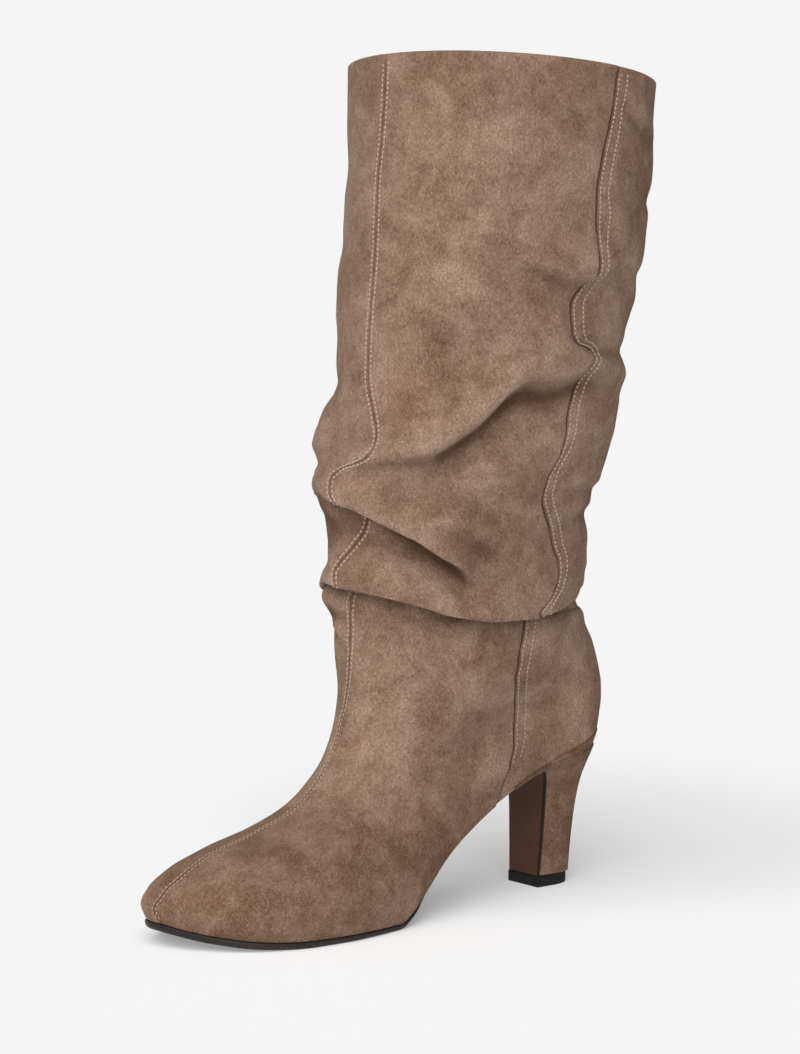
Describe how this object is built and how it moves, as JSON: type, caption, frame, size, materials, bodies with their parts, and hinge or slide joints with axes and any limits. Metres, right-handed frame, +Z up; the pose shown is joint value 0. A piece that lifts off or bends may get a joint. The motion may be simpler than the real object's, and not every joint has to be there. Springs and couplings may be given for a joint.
{
  "type": "slouch boot",
  "caption": "Left slouch boot in suede with a slouched, folded shaft over the ankle, an almond toe and a slim covered heel.",
  "frame": {"origin": "on the floor, at the middle of the underside of the heel's top lift", "axes": "+Z up, +X from the toe to the heel, +Y to the inner side of the foot"},
  "size_m": [0.2739, 0.1348, 0.3918],
  "materials": {
    "suede": "taupe suede with a mottled nap",
    "sole_edge": "near-black sole edge, satin",
    "sole_leather": "smooth dark brown sole leather",
    "lift_rubber": "matt black rubber",
    "lining": "pale tan lining leather"
  },
  "bodies": {
    "root": {"upper": "suede", "heel_block": "suede", "outsole": "sole_edge", "breast_facing": "sole_leather", "top_lift": "lift_rubber", "insole": "lining"}
  },
  "joints": []
}
